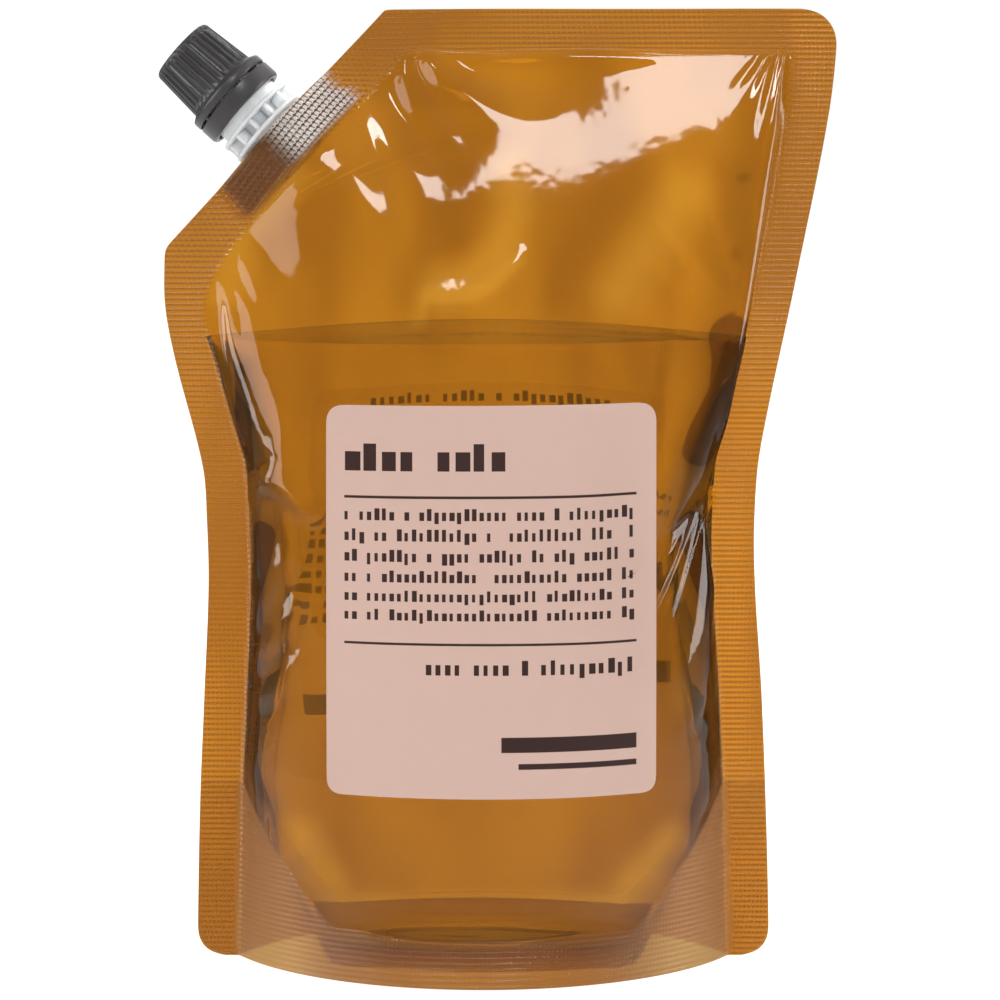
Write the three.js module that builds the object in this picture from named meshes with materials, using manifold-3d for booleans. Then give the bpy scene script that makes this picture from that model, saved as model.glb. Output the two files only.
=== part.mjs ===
// A stand-up refill pouch of liquid soap: two film panels and a folded bottom gusset, welded round a
// corner spout with a screw cap and a tamper band, holding the soap, with a label on each face.
// Millimetres, +Z up. The pouch stands on the curved bottom edges of its two panels and on the slack
// middle of its base, which the soap presses onto the table.
import * as THREE from "three";
import { mergeVertices } from "three/addons/utils/BufferGeometryUtils.js";
import Module from "manifold-3d";

const wasm = await Module();
wasm.setup();

// Driving dimensions
const filmThickness = 0.35;
const gap = 0.3; // between pieces that touch on the real pack
const soapGap = 1.1; // between the soap and the film, through the pouch
const sealWidth = 9.5;
const pouchTop = 214.6; // length of film from the bottom edge to the top edge
const topSeam = pouchTop - sealWidth;
const gussetFold = 40; // height of the gusset's fold in the side seals
const gussetFloor = 9.5; // height of the seal that joins gusset and panel, at mid width
const gussetSag = 15; // of the slack base between its welds, if no table held it up
const bottomCorner = 6; // radii of the outline's corners
const topCorner = 8.5;
const sectionAngle = THREE.MathUtils.degToRad(65); // of the film with the seal, in a level section
const soapLevel = 141;
const lean = { from: 90, radius: 316 }; // the upper half curves backwards on this radius

const spoutFoot = { x: -48.6, v: 186.7 }; // where the spout's axis crosses the slanting edge
const slantStart = { x: -72.5, v: 160.3 };
const slantAngle = THREE.MathUtils.degToRad(47.9);
const boat = { halfLength: 16.8, halfThickness: 6.2, depth: 9.4, ridge: 0.25 };
const spout = { bore: 5.1, neck: 6.2, collar: 8.3, bead: 8.9, flange: 9.9, mouth: 24 };
const cap = { foot: 12.1, shoulder: 15, top: 27.6, inside: 25.9, bore: 6.9, ribs: 26, ribDepth: 0.45 };
const band = { foot: 7.6, top: 11.6, outer: 10.4, inner: 9.3, lip: 8.7, bridges: 8 };
const liner = { radius: 6.2, foot: spout.mouth + gap, thickness: 1.2 };

const frontLabel = { x0: -36.3, x1: 36.9, v0: 42, v1: 125.5, corner: 4, thickness: 0.15 };
const backLabel = { x0: -38, x1: 38, v0: 38, v1: 128, corner: 4, thickness: 0.15 };

const { clamp, lerp, smoothstep } = THREE.MathUtils;

// A smooth curve of y over t through the given [t, y] points.
function through(...points) {
  const last = points.length - 1;
  const slopes = points.map((_, i) => {
    const [t0, y0] = points[Math.max(i - 1, 0)];
    const [t1, y1] = points[Math.min(i + 1, last)];
    return (y1 - y0) / (t1 - t0);
  });
  return (t) => {
    let i = 0;
    while (i < last - 1 && t > points[i + 1][0]) i++;
    const [t0, y0] = points[i];
    const [t1, y1] = points[i + 1];
    const w = t1 - t0;
    const u = clamp((t - t0) / w, 0, 1);
    const rise = u * u * (3 - 2 * u);
    const ends = u * (1 - u) * ((1 - u) * slopes[i] - u * slopes[i + 1]) * w;
    return lerp(y0, y1, rise) + ends;
  };
}

// Pouch space: x across, h through the pouch (front negative) and v along the film from the bottom edge.
// The outline's left and right edges and the left seam are x over v.
const leftEdge = through(
  [0, -65.9], [35, -65.1], [60, -64], [85, -62.9], [100, -63.2], [112, -64.1], [136, -70.2], [148, -72.4],
  [160.3, -72.5],
);
const rightEdge = through(
  [0, 62.8], [28, 62.1], [60, 60.8], [85, 59.2], [100, 59], [116, 60.3], [153, 68], [192, 75.8],
  [215, 78.2],
);
const slantSeam = through(
  [112, -54.4], [136, -61.5], [147, -64.5], [158, -60.2], [170, -50.3], [188, -34],
  [topSeam, -18.5], [pouchTop, -9.9],
);
// How far the film stands out from the seal plane at mid width, over v.
const frontDepth = through(
  [0, 33], [9, 30], [30, 30], [60, 29.8], [90, 28], [120, 24], [150, 18], [180, 10.5], [198, 3.5],
  [topSeam, 0],
);
const backDepth = through(
  [0, 33], [9, 30], [30, 29.2], [60, 28.6], [90, 27], [120, 23.2], [150, 17.5], [180, 10.2], [198, 3.5],
  [topSeam, 0],
);

// A point of pouch space in the part's frame.
function bend(x, h, v) {
  if (v <= lean.from) return new THREE.Vector3(x, h, v);
  const angle = (v - lean.from) / lean.radius;
  const r = lean.radius - h;
  return new THREE.Vector3(x, lean.radius - r * Math.cos(angle), lean.from + r * Math.sin(angle));
}

function cornerInset(v, radius, distance) {
  if (distance >= radius) return 0;
  const d = radius - distance;
  return radius - Math.sqrt(Math.max(radius * radius - d * d, 0));
}

function outline(v) {
  const bottom = cornerInset(v, bottomCorner, v);
  const slant = slantStart.x + (v - slantStart.v) / Math.tan(slantAngle);
  return {
    left: v > slantStart.v ? slant : leftEdge(v) + bottom,
    right: rightEdge(v) - bottom - cornerInset(v, topCorner, pouchTop - v),
  };
}

function seams(v) {
  const left = v < 112 ? leftEdge(v) + sealWidth : slantSeam(v);
  return { left, right: rightEdge(v) - sealWidth };
}

// Distance of a point from the spout's foot, along the slanting edge and out of the pouch.
function fromSpout(x, v) {
  const dx = x - spoutFoot.x;
  const dv = v - spoutFoot.v;
  const along = dx * Math.cos(slantAngle) + dv * Math.sin(slantAngle);
  const out = -dx * Math.sin(slantAngle) + dv * Math.cos(slantAngle);
  return { along, out };
}

// Half thickness of the boat-shaped spout base, a rounded ridge, at a share of its half length.
function ridge(share) {
  const e = boat.ridge;
  const q = clamp(Math.abs(share), 0, 1);
  return (Math.hypot(1, e) - Math.hypot(q, e)) / (Math.hypot(1, e) - e);
}

// How far the film stands from the seal plane at x, v: the lens section, and the lift over the spout base.
function filmDepth(x, v, depth) {
  const { left, right } = seams(v);
  const across = clamp((2 * x - left - right) / (right - left), -1, 1) * Math.sin(sectionAngle);
  const lens = (Math.sqrt(1 - across * across) - Math.cos(sectionAngle)) / (1 - Math.cos(sectionAngle));
  const { along, out } = fromSpout(x, v);
  const lift = (boat.halfThickness + 1) * ridge(along / (boat.halfLength + 1.6));
  return (v < topSeam ? depth(v) * lens : 0) + lift * smoothstep(out, -32, -boat.depth);
}

// Half the distance between the panels' middle surfaces in a seal.
// Two more layers of film lie below the fold.
function sealOffset(v) {
  const layer = filmThickness + gap;
  return layer / 2 + layer * (1 - smoothstep(v, gussetFold + 1, gussetFold + 7));
}

// Columns of the film's grid: a number from -1 to 1 between the seams, and beyond it in the side seals.
const sectionCells = 16;
const columns = [-4 / 3, -1.25, -1.125, ...steps(-1, 1, sectionCells), 1.125, 4 / 3];
const sealColumn = 1 / 3; // a column number at the outline less one at the seam

function steps(from, to, count) {
  return Array.from({ length: count + 1 }, (_, i) => lerp(from, to, i / count));
}

function columnX(column, v) {
  const edge = outline(v);
  const seam = seams(v);
  if (column < -1) return lerp(seam.left, edge.left, (-1 - column) / sealColumn);
  if (column > 1) return lerp(seam.right, edge.right, (column - 1) / sealColumn);
  const across = Math.sin(column * sectionAngle) / Math.sin(sectionAngle);
  return (seam.left + seam.right) / 2 + ((seam.right - seam.left) / 2) * across;
}

// Geometry from triangles of points. Those that have shrunk to a line are left out.
function closed(triangles) {
  const real = triangles.filter(([a, b, c]) => !(a.equals(b) || b.equals(c) || c.equals(a)));
  const geometry = new THREE.BufferGeometry().setFromPoints(real.flat());
  geometry.computeVertexNormals();
  return geometry;
}

// A sheet with a front and a back surface, from pointAt(row, column, side) with side 0 or 1.
// side 0 faces the reader when rows run up and columns run right.
function sheet(rowCount, columnCount, pointAt) {
  const rowAt = (i, side) => Array.from({ length: columnCount }, (_, j) => pointAt(i, j, side));
  const grid = [0, 1].map((side) => Array.from({ length: rowCount }, (_, i) => rowAt(i, side)));
  const [near, far] = grid;
  const triangles = [];
  const quad = (a, b, c, d) => triangles.push([a, b, c], [a, c, d]);
  for (let i = 0; i + 1 < rowCount; i++) {
    for (let j = 0; j + 1 < columnCount; j++) {
      quad(near[i][j], near[i][j + 1], near[i + 1][j + 1], near[i + 1][j]);
      quad(far[i][j], far[i + 1][j], far[i + 1][j + 1], far[i][j + 1]);
    }
    const last = columnCount - 1;
    quad(near[i][0], near[i + 1][0], far[i + 1][0], far[i][0]);
    quad(near[i][last], far[i][last], far[i + 1][last], near[i + 1][last]);
  }
  for (let j = 0; j + 1 < columnCount; j++) {
    const top = rowCount - 1;
    quad(near[0][j], far[0][j], far[0][j + 1], near[0][j + 1]);
    quad(near[top][j], near[top][j + 1], far[top][j + 1], far[top][j]);
  }
  return closed(triangles);
}

// Rows of the panels: close together at the rounded corners and round the spout.
const cornerRows = [0, 0.12, 0.4, 1];
const rows = [
  ...cornerRows.map((share) => share * bottomCorner),
  ...steps(bottomCorner, slantStart.v, 16).slice(1),
  ...steps(slantStart.v, topSeam, 12).slice(1),
  ...[...cornerRows].reverse().map((share) => pouchTop - share * topCorner),
];

function panel(side) {
  const depth = side < 0 ? frontDepth : backDepth;
  return sheet(rows.length, columns.length, (i, j, face) => {
    const v = rows[i];
    const x = columnX(columns[j], v);
    const middle = side * (sealOffset(v) + filmDepth(x, v, depth));
    return bend(x, middle + (face - 0.5) * filmThickness, v);
  });
}

// Height of the weld between gusset and panel: level in the middle, rising in straight legs to the fold.
function weldHeight(column) {
  return gussetFloor + (gussetFold - gussetFloor) * clamp((Math.abs(column) - 0.52) / 0.48, 0, 1);
}

// Height of the gusset's middle surface between its welds: it sags, and its middle lies flat on the
// table. It isn't slack where the legs draw it tight.
function floorHeight(column, across) {
  const slack = gussetSag * (1 - smoothstep(Math.abs(column), 0.4, 0.85));
  return Math.max(weldHeight(column) - slack * 4 * across * (1 - across), filmThickness / 2);
}

// The gusset: up inside the front panel to the weld's height, over to the back panel, and down again.
const gussetUp = 4; // cells up each weld
const gussetOver = 6; // cells between the welds
function gusset() {
  const rowCount = 2 * gussetUp + gussetOver + 1;
  const layer = (filmThickness + gap) / 2;
  return sheet(rowCount, columns.length, (i, j, face) => {
    const column = columns[j];
    const grow = (face - 0.5) * filmThickness;
    const weld = weldHeight(column);
    const wall = (side, v) => {
      const x = columnX(column, v);
      const out = layer + filmDepth(x, v, side < 0 ? frontDepth : backDepth) - grow;
      return { x, h: side * out };
    };
    if (i < gussetUp || i > gussetUp + gussetOver) {
      const side = i < gussetUp ? -1 : 1;
      const v = (weld * Math.min(i, rowCount - 1 - i)) / gussetUp;
      const at = wall(side, v);
      return bend(at.x, at.h, v);
    }
    const across = (i - gussetUp) / gussetOver;
    const front = wall(-1, weld);
    const back = wall(1, weld);
    const v = floorHeight(column, across) - grow;
    return bend(columnX(column, v), lerp(front.h, back.h, across), v);
  });
}

// The soap fills the pouch from the gusset up to its level surface.
function soap() {
  const reach = 0.99; // of the way to each side seam, where it thins out to an edge
  const stations = [-reach, ...columns.filter((column) => Math.abs(column) < reach), reach];
  const clearance = filmThickness / 2 + soapGap;
  const up = 10;
  const over = 6;
  const half = (column, v, depth) =>
    Math.abs(column) < reach ? filmDepth(columnX(column, v), v, depth) + sealOffset(v) - clearance : 0;
  // v at which a point h from the seal plane comes to the soap's level
  const surface = (h) => lean.from + lean.radius * Math.asin((soapLevel - lean.from) / (lean.radius - h));
  const wallTop = (column, side, depth) => {
    let v = soapLevel;
    for (let i = 0; i < 8; i++) v = surface(side * half(column, v, depth));
    return v;
  };
  const loop = (column) => {
    const floor = weldHeight(column) + clearance;
    const ring = [];
    const wall = (side, depth) =>
      steps(floor, wallTop(column, side, depth), up).map((v) => [side * half(column, v, depth), v]);
    const front = wall(-1, frontDepth);
    const back = wall(1, backDepth).reverse();
    const between = (a, b, vAt) =>
      steps(0, 1, over).slice(1, -1).map((t) => {
        const h = lerp(a[0], b[0], t);
        return [h, vAt(h, t)];
      });
    ring.push(...front, ...between(front[up], back[0], surface));
    ring.push(...back, ...between(back[up], front[0], (_, t) => floorHeight(column, t) + clearance));
    return ring.map(([h, v]) => bend(columnX(column, v), h, v));
  };
  return loft(stations.map(loop), up + over / 2);
}

// Closed geometry through rings of equal length. Seen from the first ring towards the last they turn
// anticlockwise. Each end is closed with strips that run across it, starting at the ring's pole.
function loft(rings, pole = 0) {
  const triangles = [];
  const count = rings[0].length;
  const quad = (a, b, c, d) => triangles.push([a, b, c], [a, c, d]);
  for (let i = 0; i + 1 < rings.length; i++) {
    const [near, far] = [rings[i], rings[i + 1]];
    near.forEach((point, k) => quad(point, far[k], far[(k + 1) % count], near[(k + 1) % count]));
  }
  const strip = (ring, i) =>
    [pole - i, pole + i, pole + i + 1, pole - i - 1].map((k) => ring[(k + count) % count]);
  for (let i = 0; i < count / 2; i++) {
    quad(...strip(rings[0], i));
    quad(...strip(rings[rings.length - 1], i).reverse());
  }
  return closed(triangles);
}

// A label: a rounded rectangle of thin film on a panel's outer surface.
function label(size, side) {
  const depth = side < 0 ? frontDepth : backDepth;
  const cells = 12;
  const corner = [0, 0.12, 0.4];
  const upright = [
    ...corner.map((share) => size.v0 + share * size.corner),
    ...steps(size.v0 + size.corner, size.v1 - size.corner, 11),
    ...[...corner].reverse().map((share) => size.v1 - share * size.corner),
  ];
  return sheet(upright.length, cells + 1, (i, j, face) => {
    const v = upright[i];
    const inset = cornerInset(v, size.corner, Math.min(v - size.v0, size.v1 - v));
    const x = lerp(size.x0 + inset, size.x1 - inset, j / cells);
    const film = sealOffset(v) + filmDepth(x, v, depth) + filmThickness / 2 + gap;
    const thickness = side < 0 ? 1 - face : face;
    return bend(x, side * (film + thickness * size.thickness), v);
  });
}

// Solids for joining and cutting
function solid(geometry) {
  const bare = geometry.index ? geometry.toNonIndexed() : geometry.clone();
  bare.deleteAttribute("normal");
  bare.deleteAttribute("uv");
  const merged = mergeVertices(bare, 1e-4);
  const mesh = new wasm.Mesh({
    numProp: 3,
    vertProperties: merged.attributes.position.array,
    triVerts: new Uint32Array(merged.index.array),
  });
  return new wasm.Manifold(mesh);
}

function geometryOf(manifold) {
  const mesh = manifold.getMesh();
  const geometry = new THREE.BufferGeometry();
  geometry.setAttribute("position", new THREE.BufferAttribute(mesh.vertProperties, 3));
  geometry.setIndex(new THREE.BufferAttribute(mesh.triVerts, 1));
  const flat = geometry.toNonIndexed();
  flat.computeVertexNormals();
  return flat;
}

// A body of revolution about Z from a closed profile of [radius, height] points, listed anticlockwise.
function turned(profile, segments) {
  const points = [...profile, profile[0]].map(([r, z]) => new THREE.Vector2(r, z));
  return new THREE.LatheGeometry(points, segments).rotateX(Math.PI / 2);
}

function ringProfile(inner, outer, foot, top) {
  return [[inner, foot], [outer, foot], [outer, top], [inner, top]];
}

// The spout, moulded in one: boat-shaped base, two flanges joined by webs, collar, bead and neck.
function spoutGeometry() {
  const segments = 40;
  const flangeEdge = 0.25; // chamfer
  const { bore, neck, collar, bead, flange, mouth } = spout;
  const lower = { foot: 0.6, top: 1.5 };
  const upper = { foot: 4.4, top: 5.3 };
  const flangeAt = ({ foot, top }) => [
    [flange - flangeEdge, foot], [flange, foot + flangeEdge],
    [flange, top - flangeEdge], [flange - flangeEdge, top],
  ];
  const profile = [
    [bore, -boat.depth], [neck - 0.1, -boat.depth], [neck - 0.1, lower.foot],
    ...flangeAt(lower),
    [neck, lower.top], [neck, upper.foot],
    ...flangeAt(upper),
    [collar, upper.top], [collar, 8.8], [bead, 9.1], [bead - 0.5, 9.9], [neck, 9.9],
    [neck, mouth - 0.4], [neck - 0.4, mouth], [bore, mouth],
  ];
  let whole = solid(turned(profile, segments));
  const boatSection = new THREE.Shape();
  const shares = steps(-1, 1, 16);
  const halfAt = (share) => Math.max(boat.halfThickness * ridge(share), 0.25);
  shares.forEach((s, i) => boatSection[i ? "lineTo" : "moveTo"](s * boat.halfLength, halfAt(s)));
  [...shares].reverse().forEach((s) => boatSection.lineTo(s * boat.halfLength, -halfAt(s)));
  const boatHeight = { depth: boat.depth - gap, bevelEnabled: false };
  const boatSolid = new THREE.ExtrudeGeometry(boatSection, boatHeight);
  whole = whole.add(solid(boatSolid.translate(0, 0, -boat.depth)));
  const webs = 12;
  const webLength = flange - neck;
  for (let i = 0; i < webs; i++) {
    const web = new THREE.BoxGeometry(webLength, 0.8, upper.foot - lower.top + 0.4);
    web.translate(neck + webLength / 2 - 0.3, 0, (lower.top + upper.foot) / 2);
    whole = whole.add(solid(web.rotateZ(((i + 0.5) * 2 * Math.PI) / webs)));
  }
  const drill = new THREE.CylinderGeometry(bore, bore, 60, segments).rotateX(Math.PI / 2);
  return geometryOf(whole.subtract(solid(drill)));
}

// The cap: a ribbed, tapering shell on a plain collar, open below, with a stepped bore.
function capGeometry() {
  const perRib = 4;
  const count = cap.ribs * perRib;
  const ring = (radius, height, groove) =>
    Array.from({ length: count }, (_, k) => {
      const angle = (-2 * Math.PI * k) / count;
      const r = radius - (k % perRib < 2 ? 0 : groove);
      return new THREE.Vector3(r * Math.cos(angle), r * Math.sin(angle), height);
    });
  const outside = loft([
    ring(10.4, cap.foot, 0),
    ring(10.3, cap.shoulder - 1, 0),
    ring(9.1, cap.shoulder - 0.1, 0),
    ring(8.75, cap.shoulder, cap.ribDepth),
    ring(7.95, cap.top - 1.1, cap.ribDepth),
    ring(7.4, cap.top - 0.35, 0.1),
    ring(7, cap.top, 0),
  ]);
  const bore = [
    [0, cap.foot - 5], [9.2, cap.foot - 5], [9.2, 14],
    [cap.bore, 14.4], [cap.bore, cap.inside], [0, cap.inside],
  ];
  const boreProfile = bore.map(([r, z]) => new THREE.Vector2(r, z));
  const hollow = new THREE.LatheGeometry(boreProfile, 40).rotateX(Math.PI / 2);
  return geometryOf(solid(outside).subtract(solid(hollow)));
}

// The tamper band: a ring with a lip that catches under the neck's bead, and stubs of the bridges
// to the cap.
function bandGeometry() {
  const { foot, top, outer, inner, lip, bridges } = band;
  const profile = [
    [lip, foot + 0.2], [lip + 0.3, foot], [outer - 0.3, foot], [outer, foot + 0.4], [outer, top],
    [inner, top], [inner, foot + 1.2], [lip, foot + 0.8],
  ];
  let whole = solid(turned(profile, 48));
  for (let i = 0; i < bridges; i++) {
    const stub = new THREE.BoxGeometry(0.7, 1, 1);
    stub.translate((outer + inner) / 2, 0, top - 0.3);
    whole = whole.add(solid(stub.rotateZ((i * 2 * Math.PI) / bridges)));
  }
  return geometryOf(whole);
}

function linerGeometry() {
  const disc = new THREE.CylinderGeometry(liner.radius, liner.radius, liner.thickness, 40);
  return disc.rotateX(Math.PI / 2).translate(0, 0, liner.foot + liner.thickness / 2);
}

// Materials
const plastic = (color, roughness, opacity = 1) =>
  new THREE.MeshStandardMaterial({ color, roughness, metalness: 0, transparent: opacity < 1, opacity });
const materials = {
  amberFilm: plastic(0xb8731c, 0.12, 0.55),
  soap: plastic(0xd08a24, 0.08, 0.5),
  clearLabel: plastic(0xd9c3a6, 0.3, 0.5),
  pinkLabel: plastic(0xe2bfae, 0.35),
  naturalPlastic: plastic(0xe8ebee, 0.35, 0.85),
  blackPlastic: plastic(0x2b2628, 0.32),
  linerFoam: plastic(0xf2f2ee, 0.9),
};

function named(name, geometry, material) {
  const mesh = new THREE.Mesh(geometry, material);
  mesh.name = name;
  return mesh;
}

const pouch = new THREE.Group();
pouch.add(
  named("front_panel", panel(-1), materials.amberFilm),
  named("back_panel", panel(1), materials.amberFilm),
  named("bottom_gusset", gusset(), materials.amberFilm),
  named("soap", soap(), materials.soap),
  named("front_label", label(frontLabel, -1), materials.pinkLabel),
  named("back_label", label(backLabel, 1), materials.clearLabel),
);

// The closure's own frame: X along the slanting edge, Y through the pouch and Z out of the spout.
const spoutLean = (spoutFoot.v - lean.from) / lean.radius;
const closure = new THREE.Group();
closure.position.copy(bend(spoutFoot.x, 0, spoutFoot.v));
closure.rotation.set(spoutLean * -1, 0, 0);
const slanted = new THREE.Group();
slanted.rotation.set(0, slantAngle * -1, 0);
slanted.add(
  named("spout", spoutGeometry(), materials.naturalPlastic),
  named("tamper_band", bandGeometry(), materials.blackPlastic),
  named("screw_cap", capGeometry(), materials.blackPlastic),
  named("cap_liner", linerGeometry(), materials.linerFoam),
);
closure.add(slanted);

// The origin is the middle of the bounding box's underside.
const pack = new THREE.Group();
pack.add(pouch, closure);
const box = new THREE.Box3().setFromObject(pack, true);
pack.position.set(-(box.min.x + box.max.x) / 2, -(box.min.y + box.max.y) / 2, -box.min.z);

export default pack;
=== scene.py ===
import math

import bmesh
import bpy
from mathutils import Matrix, Vector, noise
from mathutils.bvhtree import BVHTree


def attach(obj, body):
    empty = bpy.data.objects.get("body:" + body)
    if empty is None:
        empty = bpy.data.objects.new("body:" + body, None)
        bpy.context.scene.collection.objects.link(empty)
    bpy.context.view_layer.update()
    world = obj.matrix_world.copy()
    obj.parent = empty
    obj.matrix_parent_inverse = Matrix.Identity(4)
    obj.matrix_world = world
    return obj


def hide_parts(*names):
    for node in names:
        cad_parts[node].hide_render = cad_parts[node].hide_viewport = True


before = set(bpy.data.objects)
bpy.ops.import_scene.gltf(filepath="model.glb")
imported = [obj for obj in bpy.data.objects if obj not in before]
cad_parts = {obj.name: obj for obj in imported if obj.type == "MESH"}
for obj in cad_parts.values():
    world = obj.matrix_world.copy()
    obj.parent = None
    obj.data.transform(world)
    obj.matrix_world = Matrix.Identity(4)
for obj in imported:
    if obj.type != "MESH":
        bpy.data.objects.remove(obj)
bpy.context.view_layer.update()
print("frame loaded")

mm = 0.001

# The pouch is described in its own space, in millimetres: x across, h through it with the front
# negative, and v along the film from the bottom edge. place() brings that into the frame.
pouch = {
    "sealWidth": 9.5,
    "top": 214.6,
    "gussetFold": 40.0,
    "gussetFloor": 9.5,
    "gussetSag": 15.0,
    "bottomCorner": 6.0,
    "topCorner": 8.5,
    "sectionAngle": math.radians(65),
    "soapLevel": 141.0,
    "leanFrom": 90.0,
    "leanRadius": 316.0,
    "slantX": -72.5,
    "slantV": 160.3,
    "slantAngle": math.radians(47.9),
    "spoutX": -48.6,
    "spoutV": 186.7,
    "spoutHalf": 18.2,  # half length of the film raised over the spout's base
    "spoutLift": 6.75,
    "spoutWeld": 9.6,  # how far the weld over the base goes into the pouch
    "weldCurve": 0.52,  # the base seal rises outside this column
    "shiftX": -1.809,
}
pouch["topSeam"] = pouch["top"] - pouch["sealWidth"]


def through(*points):  # a smooth curve of y over t
    last = len(points) - 1
    slopes = []
    for i in range(len(points)):
        (t0, y0), (t1, y1) = points[max(i - 1, 0)], points[min(i + 1, last)]
        slopes.append((y1 - y0) / (t1 - t0))

    def curve(t):
        i = 0
        while i < last - 1 and t > points[i + 1][0]:
            i += 1
        (t0, y0), (t1, y1) = points[i], points[i + 1]
        u = min(max((t - t0) / (t1 - t0), 0), 1)
        ends = u * (1 - u) * ((1 - u) * slopes[i] - u * slopes[i + 1]) * (t1 - t0)
        return y0 + (y1 - y0) * u * u * (3 - 2 * u) + ends

    return curve


# Over v: the outline's edges, the slanting seam's inner edge and how far the film bulges at mid width
leftEdge = through(
    (0, -65.9), (35, -65.1), (60, -64), (85, -62.9), (100, -63.2), (112, -64.1), (136, -70.2), (148, -72.4),
    (160.3, -72.5),
)
rightEdge = through(
    (0, 62.8), (28, 62.1), (60, 60.8), (85, 59.2), (100, 59), (116, 60.3), (153, 68), (192, 75.8),
    (215, 78.2),
)
slantSeam = through(
    (112, -54.4), (136, -61.5), (147, -64.5), (158, -60.2), (170, -50.3), (188, -34),
    (pouch["topSeam"], -18.5), (pouch["top"], -9.9),
)
frontDepth = through(
    (0, 33), (9, 30), (30, 30), (60, 29.8), (90, 28), (120, 24), (150, 18), (180, 10.5), (198, 3.5),
    (pouch["topSeam"], 0),
)
backDepth = through(
    (0, 33), (9, 30), (30, 29.2), (60, 28.6), (90, 27), (120, 23.2), (150, 17.5), (180, 10.2), (198, 3.5),
    (pouch["topSeam"], 0),
)


def place(x, h, v):
    if v <= pouch["leanFrom"]:
        return Vector((x + pouch["shiftX"], h, v)) * mm
    angle = (v - pouch["leanFrom"]) / pouch["leanRadius"]
    r = pouch["leanRadius"] - h
    y = pouch["leanRadius"] - r * math.cos(angle)
    z = pouch["leanFrom"] + r * math.sin(angle)
    return Vector((x + pouch["shiftX"], y, z)) * mm


def ease(t, start, end):  # from 0 at start to 1 at end, smoothly
    u = min(max((t - start) / (end - start), 0), 1)
    return u * u * (3 - 2 * u)


def cornerInset(radius, distance):  # of a rounded corner's edge, this far from the end
    if distance >= radius:
        return 0
    return radius - math.sqrt(max(radius**2 - (radius - distance) ** 2, 0))


def outline(v):
    bottom = cornerInset(pouch["bottomCorner"], v)
    slant = pouch["slantX"] + (v - pouch["slantV"]) / math.tan(pouch["slantAngle"])
    left = slant if v > pouch["slantV"] else leftEdge(v) + bottom
    return left, rightEdge(v) - bottom - cornerInset(pouch["topCorner"], pouch["top"] - v)


def seams(v):
    left = leftEdge(v) + pouch["sealWidth"] if v < 112 else slantSeam(v)
    return left, rightEdge(v) - pouch["sealWidth"]


def fromSpout(x, v):  # along the slanting edge, and out of the pouch
    dx, dv = x - pouch["spoutX"], v - pouch["spoutV"]
    c, s = math.cos(pouch["slantAngle"]), math.sin(pouch["slantAngle"])
    return dx * c + dv * s, dv * c - dx * s


def ridge(share):  # the boat shape of the spout's base: 1 in the middle, 0 at its ends
    blunt = 0.25
    rise = math.hypot(1, blunt) - math.hypot(min(abs(share), 1), blunt)
    return rise / (math.hypot(1, blunt) - blunt)


def spoutLift(x, v):
    along, out = fromSpout(x, v)
    return pouch["spoutLift"] * ridge(along / pouch["spoutHalf"]) * ease(out, -32, -9.4)


def lens(x, v):  # the film's level section: 1 at mid width, 0 at the seams
    left, right = seams(v)
    across = min(max((2 * x - left - right) / (right - left), -1), 1) * math.sin(pouch["sectionAngle"])
    flat = math.cos(pouch["sectionAngle"])
    return (math.sqrt(1 - across**2) - flat) / (1 - flat)


# A column runs up the film: -1 and 1 are the side seams' inner edges, -4/3 and 4/3 the outline.
def weldHeight(column):
    rise = min(max((abs(column) - pouch["weldCurve"]) / (1 - pouch["weldCurve"]), 0), 1)
    return pouch["gussetFloor"] + (pouch["gussetFold"] - pouch["gussetFloor"]) * rise


def columnX(column, v):
    edges, welds = outline(v), seams(v)
    if column < -1:
        return welds[0] + (edges[0] - welds[0]) * (-1 - column) * 3
    if column > 1:
        return welds[1] + (edges[1] - welds[1]) * (column - 1) * 3
    across = math.sin(column * pouch["sectionAngle"]) / math.sin(pouch["sectionAngle"])
    return (welds[0] + welds[1]) / 2 + (welds[1] - welds[0]) / 2 * across


def sealOffset(v):  # of a panel from the middle of the seals, where the gusset's leaves lie between them
    return 0.08 + 0.16 * (1 - ease(v, pouch["gussetFold"] + 1, pouch["gussetFold"] + 7))


def sealWave(x, v):  # the welded edges are never quite flat
    along, _ = fromSpout(x, v)
    free = ease(abs(along), 16, 34) * ease(v, 12, 50)
    return free * 2.6 * noise.noise(Vector((x * 0.012 + 4.1, v * 0.022, 7.3)))


def floorHeight(column, across):  # of the gusset's slack middle
    slack = pouch["gussetSag"] * (1 - ease(abs(column), 0.4, 0.85))
    return max(weldHeight(column) - slack * 4 * across * (1 - across), 0.1)


collection = bpy.context.scene.collection


def addPiece(name, bm, material):
    mesh = bpy.data.meshes.new(name)
    bm.to_mesh(mesh)
    bm.free()
    piece = bpy.data.objects.new(name, mesh)
    collection.objects.link(piece)
    mesh.shade_smooth()
    mesh.materials.append(material)
    return piece


# Materials

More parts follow.
